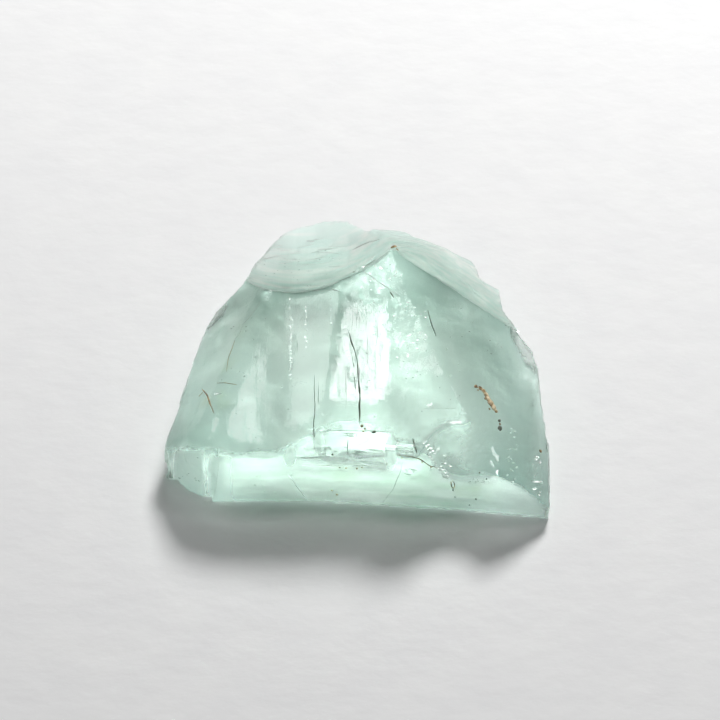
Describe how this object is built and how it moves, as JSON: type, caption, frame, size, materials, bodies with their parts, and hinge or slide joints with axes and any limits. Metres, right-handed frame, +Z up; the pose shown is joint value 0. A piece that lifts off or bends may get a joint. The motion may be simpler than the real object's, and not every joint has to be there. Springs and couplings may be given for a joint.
{
  "type": "phosphophyllite crystal",
  "caption": "Loose pale blue-green crystal tip with sloping natural faces, a straight cleavage wall in front and a broken, hollowed back, resting on its flat base.",
  "frame": {"origin": "centre of the bounding box in plan, at the flat base", "axes": "+Z up from the base to the apex; X along the straight cleavage wall; the wall faces -Y and the hollowed, broken back faces +Y"},
  "size_m": [0.0124, 0.0116, 0.0045],
  "materials": {
    "crystal": "clear pale blue-green crystal, bright natural faces, rougher broken sides and base"
  },
  "bodies": {
    "root": {"crystal": "crystal"}
  },
  "joints": []
}
